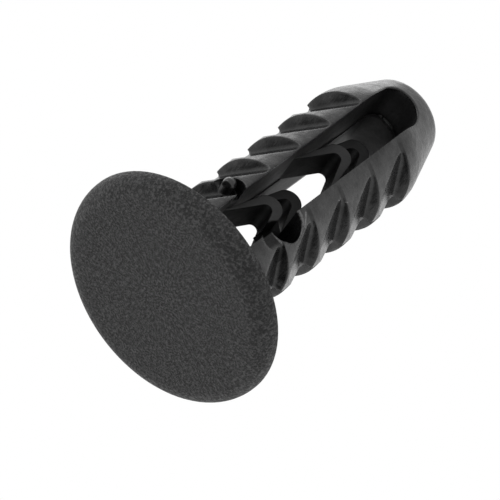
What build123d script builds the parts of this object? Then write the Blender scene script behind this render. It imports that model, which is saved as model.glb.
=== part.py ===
from build123d import *
from math import sin, cos, tan, acos, atan2, hypot, radians
import os

# Push-in clip, one moulding, standing on the outer face of its head.
# Z runs along the shank, from the head face at Z = 0 to the nose. X is the
# direction in which the two legs spring together. The mould opens along Y, and
# Y = 0 is its parting plane, so the front half is on the -Y side.

# Head
head_dia = 18.0
head_thick = 1.6
rim_land = 0.1

# Shank and nose
shank_dia = 9.72
nose_dia = 9.86
nose_taper_deg = 19.6
nose_cap_dia = 6.4
nose_cap_height = 1.5
nose_shoulder_r = 4.0
nose_edge_r = 1.2
nose_land = 0.8316
length = 29.9

# Barbs on the outside of each leg, the back ones set a little nearer the nose
barb_count = 5
barb_pitch = 3.61
barb_lean = 0.2
barb_root_r = 0.25
barb_valley_r = 1.2
right_barb_turn_deg = 20.0
right_barb_depth = 0.85
left_barb_turn_deg = 31.0
left_barb_depth = 0.99
front_ramp_start = 0.25
front_floor = 0.56
back_barb_turn_deg = 23.0
back_barb_depth = 1.13
back_ramp_start = 0.0
back_floor = 2.11
back_barb_shift = 0.64

# Slot between the legs
slot_width = 3.5
slot_end_wall = 2.8
slot_left_r = 1.1
slot_end_flat = 0.14
parting_step = 0.08
end_step = 0.2

# Spring webs across the slot, alternately in the front and the back half
web_pitch = 8.2
web_count = 4
web_end_gap = 3.15
web_depth = 2.7
web_tip_thick = 0.92
web_tip_r = 1.05
web_notch_r = 0.45
web_arm_length = 4.0
web_arm_foot = 0.35
web_bite = 0.2

# Pocket in the right leg and dimple in the left leg, both near the head
pocket_z = 8.65
pocket_x = 2.05
pocket_half_z = 2.05
pocket_half_x = 1.3
pocket_floor_y = -3.9
core_z = 9.4
core_half_z = 1.3
core_half_x = 1.22
core_floor_y = -0.9
dimple_z = 8.15
dimple_x = -2.7
dimple_half_z = 1.05
dimple_half_x = 1.1
dimple_floor_y = -3.0
stub_z = 8.55
stub_x = -2.85
stub_y = -3.7
stub_r = 0.52
stub_bite = 0.2

# Derived sizes
shank_r = shank_dia / 2
nose_r = nose_dia / 2
slot_half = slot_width / 2
face_edge_r = head_thick - rim_land
nose_cap_r = nose_cap_dia / 2
nose_cap_z = length - nose_cap_height
cap_arc_r = (nose_cap_r**2 + nose_cap_height**2) / (2 * nose_cap_height)
taper_start_z = nose_cap_z - (nose_r - nose_cap_r) / tan(radians(nose_taper_deg))
nose_start_z = taper_start_z - nose_land
barb_first_z = nose_start_z - (barb_count - 1) * barb_pitch
slot_end_z = length - slot_end_wall
slot_right_r = slot_width - 2 * parting_step - slot_left_r - slot_end_flat
web_first_tip_z = slot_end_z - web_end_gap - (web_count - 1) * web_pitch / 2
reach = 2 * shank_r
right_front_cut = (right_barb_turn_deg, right_barb_depth)
left_front_cut = (left_barb_turn_deg, left_barb_depth)
back_cut = (back_barb_turn_deg, back_barb_depth)
front_ramp = (front_ramp_start, front_floor)
back_ramp = (back_ramp_start, back_floor)


def touch_point(centre_z, radius, x, z):
    """Point where a line from (x, z) touches the far side of a tip circle."""
    angle = atan2(z - centre_z, x) + acos(radius / hypot(x, z - centre_z))
    return (radius * cos(angle), centre_z + radius * sin(angle))


with BuildPart() as clip:
    # Head: a flat disc with a rounded rim
    with BuildSketch(Plane.XZ):
        with Locations((head_dia / 4, head_thick / 2)):
            Rectangle(head_dia / 2, head_thick)
    revolve(axis=Axis.Z)
    fillet(clip.edges().filter_by(GeomType.CIRCLE).sort_by(Axis.Z)[0], face_edge_r)

    # Shank and bullet nose in one turned outline, a little thicker at the last barb
    with BuildSketch(Plane.XZ) as outline:
        with BuildLine():
            Polyline(
                (0, head_thick / 2),
                (shank_r, head_thick / 2),
                (shank_r, nose_start_z - barb_pitch),
                (nose_r, nose_start_z),
                (nose_r, taper_start_z),
                (nose_cap_r, nose_cap_z),
            )
            RadiusArc((nose_cap_r, nose_cap_z), (0, length), -cap_arc_r)
            Line((0, length), (0, head_thick / 2))
        make_face()
        fillet(outline.vertices().sort_by(Axis.Y)[-3], nose_shoulder_r)
        fillet(outline.vertices().sort_by(Axis.Y)[-2], nose_edge_r)
    revolve(axis=Axis.Z)

    # Barbs: saw-tooth cuts across the four quarters of the shank. Each tooth has
    # a steep flank towards the head and a ramp that runs out into a short floor.
    for half, (ramp_start, floor), shift, right_cut, left_cut in (
        (1, front_ramp, 0, right_front_cut, left_front_cut),
        (-1, back_ramp, back_barb_shift, back_cut, back_cut),
    ):
        with BuildPart(mode=Mode.PRIVATE) as cuts:
            for side, (turn_deg, depth) in ((1, right_cut), (-1, left_cut)):
                root_r = shank_r - depth
                turn = radians(turn_deg)
                out = Vector(side * cos(turn), -half * sin(turn), 0)
                side_on = Plane(origin=(0, 0, 0), x_dir=out, z_dir=out.cross(Vector(0, 0, 1)))
                for number in range(barb_count):
                    crest_z = barb_first_z + shift + number * barb_pitch
                    heel_z = crest_z - barb_pitch
                    with BuildSketch(side_on) as cut:
                        with BuildLine():
                            Polyline(
                                (shank_r, heel_z + ramp_start),
                                (root_r, crest_z - barb_lean - floor),
                                (root_r, crest_z - barb_lean),
                                (shank_r, crest_z),
                                (reach, crest_z),
                                (reach, heel_z + ramp_start),
                                close=True,
                            )
                        make_face()
                        fillet(cut.vertices().sort_by(Axis.X)[:2].sort_by(Axis.Y)[-1], barb_root_r)
                        fillet(cut.vertices().sort_by(Axis.X)[:2].sort_by(Axis.Y)[0], barb_valley_r)
                    extrude(amount=reach, both=True)
            split(bisect_by=Plane.XZ, keep=Keep.TOP if half > 0 else Keep.BOTTOM)
        add(cuts.part, mode=Mode.SUBTRACT)

    # Slot: the back half is a little narrower and shorter than the front half
    for way, inset, short in ((1, 0, 0), (-1, parting_step, end_step)):
        slot_top = slot_end_z - short
        with BuildSketch(Plane.XZ) as slot:
            with Locations((0, (head_thick + slot_top) / 2)):
                Rectangle(slot_width - 2 * inset, slot_top - head_thick)
            fillet(slot.vertices().sort_by(Axis.Y)[-2:].sort_by(Axis.X)[0], slot_left_r)
            fillet(slot.vertices().sort_by(Axis.Y)[-2:].sort_by(Axis.X)[-1], slot_right_r)
        extrude(amount=way * reach, mode=Mode.SUBTRACT)

    # Spring webs: a blunt tip towards the nose, arms running back to the walls
    for number in range(web_count):
        front = 1 if number % 2 == 0 else -1
        tip_z = web_first_tip_z + number * web_pitch / 2
        foot_z = tip_z - web_arm_length
        heel_z = foot_z - web_arm_foot
        outer = touch_point(tip_z - web_tip_r, web_tip_r, slot_half, foot_z)
        notch_z = tip_z - web_tip_thick - web_notch_r
        inner = touch_point(notch_z, web_notch_r, slot_half, heel_z)
        wall = slot_half + web_bite
        with BuildSketch(Plane.XZ):
            with BuildLine():
                ThreePointArc((outer[0], outer[1]), (0, tip_z), (-outer[0], outer[1]))
                Polyline(
                    (-outer[0], outer[1]),
                    (-slot_half, foot_z),
                    (-wall, foot_z),
                    (-wall, heel_z),
                    (-slot_half, heel_z),
                    (-inner[0], inner[1]),
                )
                ThreePointArc((-inner[0], inner[1]), (0, tip_z - web_tip_thick), (inner[0], inner[1]))
                Polyline(
                    (inner[0], inner[1]),
                    (slot_half, heel_z),
                    (wall, heel_z),
                    (wall, foot_z),
                    (slot_half, foot_z),
                    (outer[0], outer[1]),
                )
            make_face()
        extrude(amount=front * web_depth)

    # Right leg: a dished pocket that a deeper core hole runs into
    with BuildSketch(Plane.XZ.offset(-pocket_floor_y)):
        with Locations((pocket_x, pocket_z)):
            Ellipse(pocket_half_x, pocket_half_z)
    extrude(amount=reach, mode=Mode.SUBTRACT)
    with BuildSketch(Plane.XZ.offset(-core_floor_y)):
        with Locations((pocket_x, core_z)):
            Ellipse(core_half_x, core_half_z)
    extrude(amount=reach, mode=Mode.SUBTRACT)

    # Left leg: a dimple with the stub of the sprue left in it
    with BuildSketch(Plane.XZ.offset(-dimple_floor_y)):
        with Locations((dimple_x, dimple_z)):
            Ellipse(dimple_half_x, dimple_half_z)
    extrude(amount=reach, mode=Mode.SUBTRACT)
    with BuildSketch(Plane.XZ.offset(-dimple_floor_y - stub_bite)):
        with Locations((stub_x, stub_z)):
            Circle(stub_r)
    extrude(amount=dimple_floor_y + stub_bite - stub_y)
    with Locations((stub_x, stub_y, stub_z)):
        Sphere(stub_r)

clip.part.label = "push_in_clip"
os.makedirs("parts", exist_ok=True)
export_step(clip.part, "parts/push_in_clip.step")
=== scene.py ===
from math import cos, pi, radians, sin

import bpy
from mathutils import Matrix, Vector


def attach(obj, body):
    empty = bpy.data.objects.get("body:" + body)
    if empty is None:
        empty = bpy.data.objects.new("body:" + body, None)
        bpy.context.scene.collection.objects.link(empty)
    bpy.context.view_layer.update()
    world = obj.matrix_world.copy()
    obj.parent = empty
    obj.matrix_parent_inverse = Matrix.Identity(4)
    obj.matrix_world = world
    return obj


# Push-in clip of black nylon, standing on its head. Objects are in metres and
# in the same frame as the CAD model, and the materials work in millimetres.
MM = 0.001

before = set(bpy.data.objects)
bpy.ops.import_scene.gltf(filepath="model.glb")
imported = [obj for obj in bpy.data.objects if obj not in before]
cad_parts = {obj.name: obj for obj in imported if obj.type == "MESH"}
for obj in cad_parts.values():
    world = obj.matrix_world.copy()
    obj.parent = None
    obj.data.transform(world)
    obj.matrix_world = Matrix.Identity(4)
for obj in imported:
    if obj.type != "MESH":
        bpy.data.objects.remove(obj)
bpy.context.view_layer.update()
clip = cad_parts["push_in_clip"]

# Sizes of the solid that the materials go by, in millimetres
head_top = 1.6
head_flat_r = 7.5
slot_half = 1.75
nose_r = 4.93
taper_start = 23.54
taper_slope = 0.356
barb_first = 8.27
barb_pitch = 3.61
barb_back_shift = 0.64
pocket_centre = (2.05, 8.65)
pocket_half = (1.3, 2.05)
dimple_centre = (-2.7, 8.15)
dimple_half = (1.1, 1.05)

# Relief that the materials add: heights in millimetres, strengths on the head and on the shank
edge_soft_r = 0.3
slot_soft_r = 0.12
grain_height = 0.4
dip_height = 0.6
line_height = 0.03
line_strength = (0.0, 0.5)
wave_height = 0.12
wave_strength = (0.1, 0.6)
speckle_height = 0.03
speckle_strength = (0.0, 0.25)

# Noise: cells in a millimetre, detail and roughness
fine_noise = (6.5, 3.0, 0.75)
medium_noise = (3.1, 3.0, 0.7)
coarse_noise = (4.6, 3.0, 0.75)
line_noise = (4.0, 4.0, 0.6)
line_stretch = (1.0, 0.12, 1.0)
wave_noise = (0.8, 2.0, 0.5)
speckle_noise = (6.0, 3.0, 0.6)
patch_noise = (0.45, 3.0, 0.6)
rub_noise = (0.7, 4.0, 0.65)

# Where the dips, the marks of the mould and the painted highlight on the pocket's rim begin and end, in
# millimetres
dip_x = (1.9, 3.2)
dip_bottom_z = (5.0, 7.5)
dip_top_z = (22.5, 24.0)
dip_turn = 0.88
pocket_y = (-4.6, -1.0)
dimple_y = (-3.2, -1.0)
rim_highlight_y = (-3.0, -3.3)
rim_highlight_z = (9.0, 9.8)
rim_highlight_ring = (1.02, 1.22)

# Nylon: colours, roughness and gloss, each from its low to its high value
nylon_colour = (0.005, 0.005, 0.0052, 1)
nylon_light = (0.01, 0.01, 0.0103, 1)
# Whitened colour for scratches and flakes, and for painted highlights
wear_and_highlight_colour = (0.16, 0.16, 0.16, 1)
nylon_ior = 1.53
head_rough = (0.62, 0.5)
shank_rough = (0.22, 0.36)
slot_rough = (0.5, 0.7)
face_gloss = (0.26, 1.0)
edge_gloss = (0.34, 0.9)
shank_gloss = (0.36, 0.54)
slot_gloss = (0.22, 0.44)

# Share of the gloss that is left where shade is painted: in the pocket, in the dimple, in corners and on the
# shade sheets
pocket_shine = 0.35
dimple_shine = 0.75
corner_shine = 0.3
corner_reach = 1.6
sheet_shade_gloss = 0.3

# Whitened lines, start, end and width in millimetres: the first four are scratches and flakes, the last four
# are painted highlights
scratches_and_highlights = (
    ((2.82, -3.95, 14.72), (3.28, -3.59, 15.55), 0.07),
    ((3.05, -3.78, 9.78), (2.55, -4.14, 10.12), 0.12),
    ((2.18, -4.35, 11.32), (2.88, -3.92, 10.72), 0.1),
    ((1.84, -3.9, 8.15), (2.95, -3.9, 8.05), 0.12),
    # Painted highlights: two lines on the ledge at the end of the slot, a line on the left wall and a dot at
    # the slot's right edge
    ((-1.59, -0.1, 27.1), (-1.0, -0.1, 27.1), 0.16),
    ((-0.67, -0.1, 27.1), (0.36, -0.1, 27.1), 0.14),
    ((-1.67, 0.3, 22.9), (-1.67, 0.3, 23.9), 0.14),
    ((1.75, -4.45, 19.1), (1.75, -4.4, 19.2), 0.1),
)
rim_highlight_strength = 0.9

# Dark sheets that paint shade in the slot where the solid is open, in millimetres: name, Y,
# then the low and the high edge of the sheet, each as two (x, z)
shade_sheets = (
    ("pocket_shade_sheet", -1.15, ((0.78, 8.9), (1.87, 8.9)), ((0.74, 11.75), (1.87, 10.85))),
    ("web_shade_sheet", -0.35, ((0.72, 19.2), (1.85, 18.5)), ((0.64, 21.0), (1.85, 20.3))),
)
sheet_cells = 8
sheet_bulge = 0.12
sheet_thick = 0.15

# Camera: the photograph looks up at the head from below the floor
cam_azimuth = -10.42
cam_elevation = 40.65
cam_roll = 53.12
cam_aim = Vector((1.08, 0.20, 9.09)) * MM
cam_distance = 345.6 * MM
cam_lens = 350.8

# Light, where a level of 1 shows a white surface as white
world_level = 0.6
key_level = 0.3
key_place = (-0.32, -0.14, -0.03)
rim_level = 0.1
rim_place = (-0.21, 0.12, 0.28)
lamp_size = 0.22
lamp_aim = (0, 0, 13 * MM)

# Floor
floor_half = 0.6
floor_gap = 0.3 * MM
floor_colour = (0.82, 0.82, 0.82, 1)


class Nodes:
    """Small helper that adds nodes to one tree and links their inputs."""

    def __init__(self, tree):
        self.tree = tree
        tree.nodes.clear()

    def add(self, kind, out=0, props=(), **inputs):
        """Add a node and give one output.

        An input is i0, i1 and so on, or its name with _ for each space.
        """
        node = self.tree.nodes.new(kind)
        for name, value in dict(props).items():
            setattr(node, name, value)
        for name, value in inputs.items():
            key = int(name[1:]) if name[1:].isdigit() else name.replace("_", " ")
            self.put(node.inputs[key], value)
        return node.outputs[out] if node.outputs else None

    def put(self, socket, value):
        if isinstance(value, bpy.types.NodeSocket):
            self.tree.links.new(value, socket)
        else:
            socket.default_value = value

    def math(self, operation, a, b=0.0, clamp=False):
        return self.add("ShaderNodeMath", props={"operation": operation, "use_clamp": clamp}, i0=a, i1=b)

    def product(self, first, *others):
        for value in others:
            first = self.math("MULTIPLY", first, value)
        return first

    def rest(self, share):
        """What a share leaves of 1."""
        return self.math("SUBTRACT", 1.0, share)

    def vector(self, operation, a, b, out=0):
        """Vector maths. Output 1 is the number that a dot product or distance gives."""
        return self.add("ShaderNodeVectorMath", out=out, props={"operation": operation}, i0=a, i1=b)

    def scale(self, vector, factor):
        return self.add("ShaderNodeVectorMath", props={"operation": "SCALE"}, i0=vector, Scale=factor)

    def parts(self, vector):
        """X, Y and Z of a vector."""
        node = self.tree.nodes.new("ShaderNodeSeparateXYZ")
        self.put(node.inputs[0], vector)
        return node.outputs

    def step(self, value, low, high):
        """0 on low's side, 1 on high's side, smooth between."""
        return self.add(
            "ShaderNodeMapRange",
            props={"interpolation_type": "SMOOTHSTEP"},
            Value=value,
            From_Min=low,
            From_Max=high,
        )

    def band(self, value, low, high, blur):
        """1 between low and high, 0 outside, smooth over blur at both ends."""
        return self.product(self.step(value, low - blur, low), self.rest(self.step(value, high, high + blur)))

    def mix(self, factor, a, b):
        """a where factor is 0, b where it is 1."""
        node = self.tree.nodes.new("ShaderNodeMix")
        for number, value in ((0, factor), (2, a), (3, b)):
            self.put(node.inputs[number], value)
        return node.outputs[0]

    def mix_colour(self, factor, a, b):
        return self.add("ShaderNodeMixRGB", Fac=factor, Color1=a, Color2=b)

    def noise(self, place, scale, detail, roughness):
        return self.add("ShaderNodeTexNoise", Vector=place, Scale=scale, Detail=detail, Roughness=roughness)

    def oval(self, x, z, centre, half):
        """Square of the distance from an ellipse's centre, 1 on the ellipse."""
        across = self.math("DIVIDE", self.math("SUBTRACT", x, centre[0]), half[0])
        along = self.math("DIVIDE", self.math("SUBTRACT", z, centre[1]), half[1])
        return self.math("ADD", self.product(across, across), self.product(along, along))

    def line_mark(self, place, start, end, width):
        """1 along a short line between two points, 0 away from it."""
        way = Vector(end) - Vector(start)
        from_start = self.vector("SUBTRACT", place, start)
        dot = self.vector("DOT_PRODUCT", from_start, way, out=1)
        share = self.math("DIVIDE", dot, way.length_squared, clamp=True)
        off = self.vector("DISTANCE", from_start, self.scale(way, share), out=1)
        return self.rest(self.step(off, 0.5 * width, width))

    def bump(self, texture, strength, height, normal):
        """Relief from a texture, its height in millimetres, on top of the normal."""
        distance = height * MM
        return self.add("ShaderNodeBump", Strength=strength, Distance=distance, Height=texture, Normal=normal)


def nylon_material(name, shade_gloss):
    """Black moulded nylon: a grained head, a satin shank with flow marks, and a matt slot, with painted shade
    in corners, in the pocket, in the dimple and on the slot's side walls; a shade_gloss below 1 gives a
    darker copy that paints shade.
    """
    mat = bpy.data.materials.new(name)
    mat.use_nodes = True
    n = Nodes(mat.node_tree)
    place = n.scale(n.add("ShaderNodeTexCoord", out=3), 1 / MM)
    x, y, z = n.parts(place)
    off_middle = n.math("ABSOLUTE", x)
    radius = n.math("SQRT", n.math("ADD", n.product(x, x), n.product(y, y)))

    # Depth below the turned outline of the shank and nose
    narrowing = n.product(n.math("MAXIMUM", n.math("SUBTRACT", z, taper_start), 0.0), taper_slope)
    depth = n.math("SUBTRACT", n.math("SUBTRACT", nose_r, narrowing), radius)

    # Regions: the shank, the head, its rounded edge, and the inside of the slot
    on_shank = n.step(z, head_top - 0.05, head_top + 0.25)
    on_head = n.rest(on_shank)
    on_edge = n.product(n.step(radius, head_flat_r - 0.4, head_flat_r + 0.3), on_head)
    between = n.rest(n.step(off_middle, slot_half + 0.02, slot_half + 0.1))
    inside = n.product(n.step(depth, 0.1, 0.5), between, on_shank)

    # Marks of the mould: the pocket on the right leg, with a painted highlight along
    # its upper rim, and the dimple on the left leg
    pocket = n.oval(x, z, pocket_centre, pocket_half)
    under = n.step(depth, 0.1, 0.3)
    in_pocket = n.product(n.rest(n.step(pocket, 1.25, 1.3)), n.band(y, *pocket_y, 0.1), under)
    dimple = n.oval(x, z, dimple_centre, dimple_half)
    in_dimple = n.product(n.rest(n.step(dimple, 0.95, 1.03)), n.band(y, *dimple_y, 0.1))
    outside = n.rest(n.step(depth, 0.12, 0.25))
    # Painted highlight: a thin whitened line just outside the pocket's upper rim
    rim_highlight = n.product(n.band(pocket, *rim_highlight_ring, 0.06), n.step(z, *rim_highlight_z), n.step(y, *rim_highlight_y), outside)

    # Spark-eroded grain on the head: fine pits on the flat, coarser ones on the rounded edge
    fine = n.mix(0.35, n.noise(place, *fine_noise), n.noise(place, *medium_noise))
    grain = n.mix(on_edge, fine, n.noise(place, *coarse_noise))
    crests = n.step(grain, 0.42, 0.66)

    # The shank has shallow waves, a speckle, and fine lines along the mould's opening direction
    lines = n.noise(n.vector("MULTIPLY", place, line_stretch), *line_noise)
    waves = n.noise(place, *wave_noise)
    speckle = n.noise(place, *speckle_noise)

    # Each groove fades out towards the slot as a shallow saw-tooth dip
    shift = n.mix(n.step(y, -0.2, 0.2), 0.0, barb_back_shift)
    turns = n.math("DIVIDE", n.math("SUBTRACT", n.math("SUBTRACT", z, barb_first), shift), barb_pitch)
    phase = n.math("FRACT", turns)
    fall = n.math("DIVIDE", n.math("MINIMUM", phase, dip_turn), -dip_turn)
    dip = n.math("ADD", fall, n.step(phase, dip_turn, 1.0))
    reach = n.add("ShaderNodeMapRange", Value=off_middle, From_Min=dip_x[0], From_Max=dip_x[1], To_Min=0.1)
    span = n.product(n.step(z, *dip_bottom_z), n.rest(n.step(z, *dip_top_z)))
    fade = n.product(reach, span, n.rest(n.step(depth, 0.03, 0.3)))

    soft_r = n.product(n.mix(inside, edge_soft_r, slot_soft_r), MM)
    normal = n.add("ShaderNodeBevel", props={"samples": 8}, Radius=soft_r)
    normal = n.bump(grain, on_head, grain_height, normal)
    normal = n.bump(dip, fade, dip_height, normal)
    normal = n.bump(lines, n.mix(on_shank, *line_strength), line_height, normal)
    normal = n.bump(waves, n.mix(on_shank, *wave_strength), wave_height, normal)
    normal = n.bump(speckle, n.mix(on_shank, *speckle_strength), speckle_height, normal)

    # Colour in large soft patches, whitened along scratches and flakes, and whitened as painted highlights on
    # the pocket's rim, the ledge at the slot's end, the left wall and the slot's edge
    patches = n.step(n.noise(place, *patch_noise), 0.35, 0.7)
    colour = n.mix_colour(patches, nylon_colour, nylon_light)
    wear_and_highlight = n.product(rim_highlight, rim_highlight_strength)
    for start, end, width in scratches_and_highlights:
        wear_and_highlight = n.math("MAXIMUM", wear_and_highlight, n.line_mark(place, start, end, width))
    wear_and_highlight = n.product(wear_and_highlight, n.step(speckle, 0.3, 0.55))
    colour = n.mix_colour(wear_and_highlight, colour, wear_and_highlight_colour)

    rough_shank = n.mix(n.step(lines, 0.3, 0.75), *shank_rough)
    rough = n.mix(on_shank, n.mix(crests, *head_rough), rough_shank)
    rough = n.mix(inside, rough, n.mix(speckle, *slot_rough))

    # Pits in the grain hold back the gloss. Painted shade: less gloss on the slot's walls that face sideways,
    # in the pocket and the dimple, and in corners that the occlusion node finds
    gloss_low, gloss_high = (n.mix(on_edge, *ends) for ends in zip(face_gloss, edge_gloss))
    gloss_head = n.mix(crests, gloss_low, gloss_high)
    rubbed = n.product(n.step(n.noise(place, *rub_noise), 0.35, 0.62), n.step(speckle, 0.2, 0.5))
    gloss_shank = n.mix(rubbed, *shank_gloss)
    facing = n.parts(n.add("ShaderNodeNewGeometry", out=1))
    # Painted shade: the slot's walls that face sideways get the low gloss
    gloss_slot = n.mix(n.step(n.math("ABSOLUTE", facing[1]), 0.5, 0.9), *slot_gloss)
    gloss = n.mix(inside, n.mix(on_shank, gloss_head, gloss_shank), gloss_slot)
    # Painted shade in corners: the occlusion node takes gloss away near other surfaces of the shank
    near = corner_reach * MM
    open_air = n.add("ShaderNodeAmbientOcclusion", out=1, props={"samples": 16}, Distance=near)
    gloss = n.product(
        gloss,
        n.mix(in_pocket, 1.0, pocket_shine),
        n.mix(in_dimple, 1.0, dimple_shine),
        n.mix(on_shank, 1.0, n.mix(open_air, corner_shine, 1.0)),
        shade_gloss,
    )

    shader = n.add(
        "ShaderNodeBsdfPrincipled",
        Base_Color=colour,
        Roughness=rough,
        Specular_IOR_Level=gloss,
        Normal=normal,
        IOR=nylon_ior,
    )
    n.add("ShaderNodeOutputMaterial", Surface=shader)
    return mat


def floor_material():
    """Pale floor from above, and nothing from below."""
    mat = bpy.data.materials.new("floor")
    mat.use_nodes = True
    n = Nodes(mat.node_tree)
    below = n.add("ShaderNodeNewGeometry", out=6)
    pale = n.add("ShaderNodeBsdfDiffuse", Color=floor_colour)
    clear = n.add("ShaderNodeBsdfTransparent")
    both = n.add("ShaderNodeMixShader", Fac=below, i1=pale, i2=clear)
    n.add("ShaderNodeOutputMaterial", Surface=both)
    return mat


def link(name, data):
    """New object in the scene."""
    made = bpy.data.objects.new(name, data)
    bpy.context.scene.collection.objects.link(made)
    return made


def between_points(a, b, share):
    return [p + (q - p) * share for p, q in zip(a, b)]


def shade_sheet(name, y, low, high, material):
    """Dark sheet of the shaded nylon across a corner of the slot, painted shade where the solid is open,
    bulging a little to the front.
    """
    points = []
    for row in range(sheet_cells + 1):
        for column in range(sheet_cells + 1):
            across, along = column / sheet_cells, row / sheet_cells
            px, pz = between_points(between_points(*low, across), between_points(*high, across), along)
            bulge = sheet_bulge * sin(pi * across) * sin(pi * along)
            points.append((px * MM, (y - bulge) * MM, pz * MM))
    faces = []
    for row in range(sheet_cells):
        for column in range(sheet_cells):
            first = row * (sheet_cells + 1) + column
            above = first + sheet_cells + 1
            faces.append((first, first + 1, above + 1, above))
    mesh = bpy.data.meshes.new(name)
    mesh.from_pydata(points, [], faces)
    mesh.materials.append(material)
    piece = link(name, mesh)
    thicken = piece.modifiers.new("thickness", "SOLIDIFY")
    thicken.thickness = sheet_thick * MM
    thicken.offset = 0
    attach(piece, "root")


def area_lamp(name, place, level):
    """Square soft lamp whose light gives a facing white surface about this level."""
    data = bpy.data.lights.new(name, "AREA")
    data.size = lamp_size
    way = Vector(lamp_aim) - Vector(place)
    data.energy = level * (pi * way.length) ** 2
    lamp = link(name, data)
    lamp.location = place
    lamp.rotation_euler = way.to_track_quat("-Z", "Y").to_euler()


# Clip
nylon = nylon_material("nylon_moulded", 1.0)
for slot in clip.material_slots:
    slot.material = nylon

# The photograph shows two dark corners in the slot where the solid is open
# Painted shade: dark sheets in a shaded copy of the nylon fill these corners
painted_shade_nylon = nylon_material("nylon_painted_shade", sheet_shade_gloss)
for name, y, low, high in shade_sheets:
    shade_sheet(name, y, low, high, painted_shade_nylon)

# Floor
floor_mesh = bpy.data.meshes.new("floor")
corners = [(a * floor_half, b * floor_half, -floor_gap) for a, b in ((-1, -1), (1, -1), (1, 1), (-1, 1))]
floor_mesh.from_pydata(corners, [], [(0, 1, 2, 3)])
floor_mesh.materials.append(floor_material())
floor = link("floor", floor_mesh)
floor.visible_diffuse = False
floor.visible_glossy = False
floor.visible_shadow = False

# World: white to the camera and in reflections, a softer level for its light
world = bpy.data.worlds.new("studio")
bpy.context.scene.world = world
world.use_nodes = True
w = Nodes(world.node_tree)
path = world.node_tree.nodes.new("ShaderNodeLightPath").outputs
seen = w.math("MAXIMUM", path["Is Camera Ray"], path["Is Glossy Ray"])
seen = w.math("MAXIMUM", seen, path["Is Transmission Ray"])
backdrop = w.add("ShaderNodeBackground", Color=(1, 1, 1, 1), Strength=w.mix(seen, world_level, 1.0))
w.add("ShaderNodeOutputWorld", Surface=backdrop)

# Lamps
area_lamp("key", key_place, key_level)
area_lamp("rim", rim_place, rim_level)

# Camera
azimuth, elevation, roll = radians(cam_azimuth), radians(cam_elevation), radians(cam_roll)
view = Vector((sin(azimuth) * cos(elevation), cos(azimuth) * cos(elevation), sin(elevation)))
level_right = view.cross(Vector((0, 0, 1))).normalized()
level_up = level_right.cross(view)
right = level_right * cos(roll) + level_up * sin(roll)
up = right.cross(view)
cam_data = bpy.data.cameras.new("camera")
cam_data.lens = cam_lens
cam_data.clip_start = 0.01
cam_data.clip_end = 10
camera = link("camera", cam_data)
turn = Matrix((right, up, -view)).transposed().to_4x4()
camera.matrix_world = Matrix.Translation(cam_aim - view * cam_distance) @ turn
bpy.context.scene.camera = camera
bpy.context.scene.view_settings.view_transform = "Standard"
